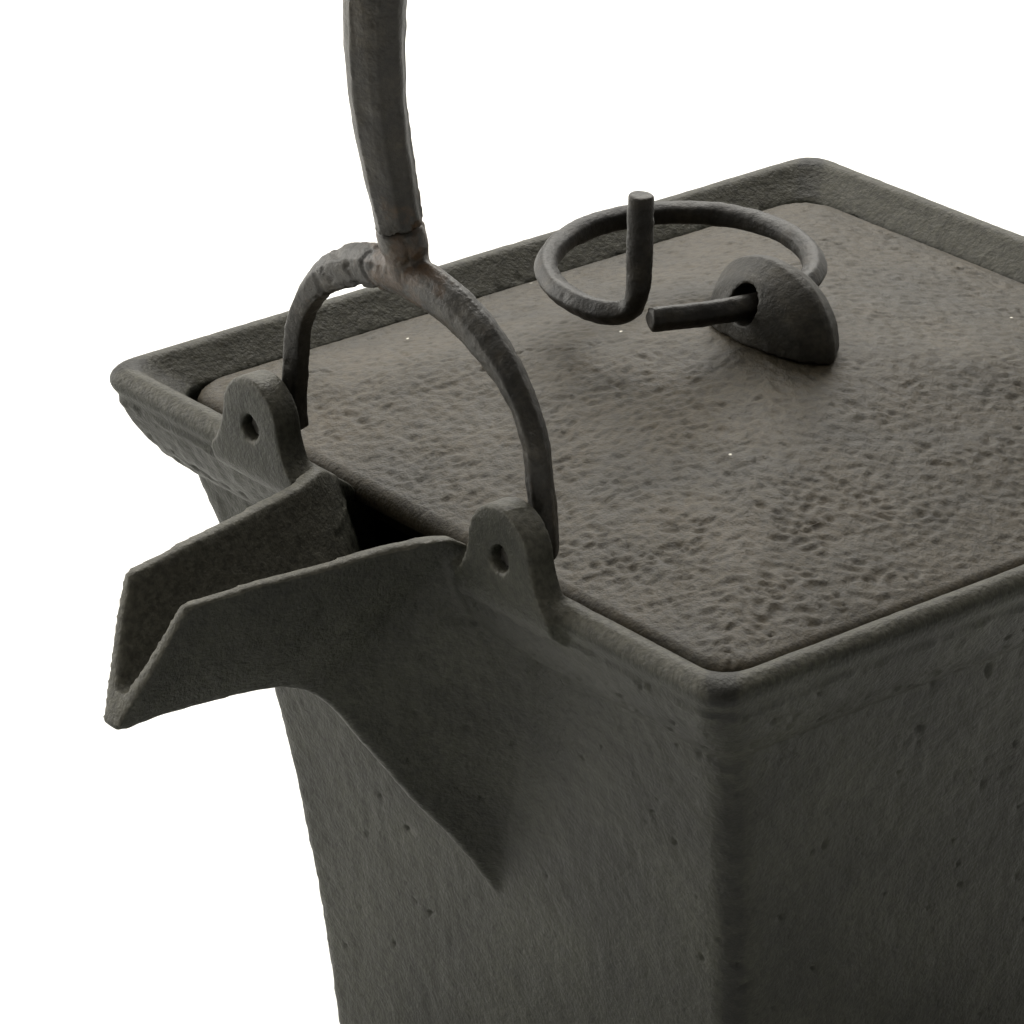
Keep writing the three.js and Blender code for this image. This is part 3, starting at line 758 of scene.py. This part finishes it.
def cast_lid_iron():
    # the same casting iron, drier and browner, with a few specks of dust
    return mottled(
        "dry_dimpled_cast_iron", "#322d22", "#3e3729", "#494133", rough=0.56, grain=0.4,
        grain_height=0.10, shine=0.3, dust="#d8d4c8")


def smooth_iron():
    # smooth casting, handled: dark satin
    return mottled(
        "handled_smooth_iron", "#24221c", "#2d2a23", "#3a362c", rough=0.54, grain=0.5,
        grain_height=0.09, cloud=5.0, shine=0.32)


def wire_iron():
    # hammered wire with scale burnt on
    return mottled(
        "hammered_iron_wire", "#1a1815", "#24211c", "#342f26", rough=0.46, grain=0.45,
        grain_height=0.08, cloud=4.0, shine=0.32)


def forged_iron():
    # forge scale with a satin rub, rust brown at the joint of fork and grip
    return mottled(
        "forge_scaled_iron", "#1e1c18", "#28251f", "#383329", rough=0.46, grain=0.5,
        grain_height=0.09, cloud=5.0, rust="#40301f", rust_near=RUST_AT, shine=0.4)


def floor_paint():
    # matt white board, faintly mottled
    return mottled(
        "matt_white_board", "#f4f4f2", "#f7f7f5", "#fafaf8", rough=0.9, grain=2.0,
        grain_height=0.002, cloud=300.0, marks=0.03)


# ---------------------------------------------------------------- floor, light, camera

def floor():
    bpy.ops.mesh.primitive_plane_add(size=6, location=(0, 0, 0))
    board = fresh("floor_board")
    board.data.materials.append(floor_paint())


def soft_panel(name, place, aim, size, power):
    """A round white panel that lights the kettle softly. Metres and watts."""
    light = bpy.data.lights.new(name, "AREA")
    light.shape = "DISK"
    light.size = size
    light.energy = power
    light.color = linear("#fffcf5")[:3]
    lamp = bpy.data.objects.new(name, light)
    bpy.context.scene.collection.objects.link(lamp)
    lamp.location = place
    lamp.rotation_euler = (Vector(aim) - Vector(place)).to_track_quat("-Z", "Y").to_euler()


def daylight():
    """A white room lit from one side: bright behind and to the left, dim on the near side."""
    world = bpy.data.worlds.new("white_room")
    bpy.context.scene.world = world
    world.use_nodes = True
    tree = world.node_tree
    background = tree.nodes["Background"]
    background.inputs["Color"].default_value = linear("#fffcf5")
    room = add_node(tree, "ShaderNodeTexCoord")
    side = add_node(tree, "ShaderNodeVectorMath", [(0, room, "Generated")],
                    operation="DOT_PRODUCT", in_1=Vector((-0.84, 0.22, 0.5)).normalized())
    strength = add_node(tree, "ShaderNodeMapRange", [("Value", side, "Value")],
                        interpolation_type="SMOOTHSTEP", in_1=-0.4, in_2=0.85, in_3=0.07, in_4=1.15)
    tree.links.new(strength.outputs["Result"], background.inputs["Strength"])
    soft_panel("window_panel", (-0.62, 0.5, 0.85), aim=(0, 0.1, 0), size=1.0, power=13)
    soft_panel("left_panel", (-0.95, -0.42, 0.4), aim=(0, 0, 0.05), size=0.8, power=8)


def camera():
    """Looks down on the spout's right side from close by, through a long lens."""
    azimuth = math.radians(CAMERA_AZIMUTH)
    elevation = math.radians(CAMERA_ELEVATION)
    roll = math.radians(CAMERA_ROLL)
    level = math.cos(elevation)
    ahead = Vector((-math.sin(azimuth) * level, math.cos(azimuth) * level, -math.sin(elevation)))
    right = Vector((math.cos(azimuth), math.sin(azimuth), 0))
    up = right.cross(ahead)
    across = right * math.cos(roll) + up * math.sin(roll)
    upward = up * math.cos(roll) - right * math.sin(roll)
    turn = Matrix((across, upward, -ahead)).transposed().to_4x4()
    data = bpy.data.cameras.new("camera")
    data.lens = CAMERA_LENS
    data.sensor_width = 36
    data.clip_start = 0.01
    eye = bpy.data.objects.new("camera", data)
    bpy.context.scene.collection.objects.link(eye)
    eye.matrix_world = Matrix.Translation(CAMERA_PLACE) @ turn
    bpy.context.scene.camera = eye


# ---------------------------------------------------------------- the kettle

vessel()
lid()
lug()
washer()
ring()
bail()
floor()
daylight()
camera()
bpy.context.scene.view_settings.view_transform = "Standard"
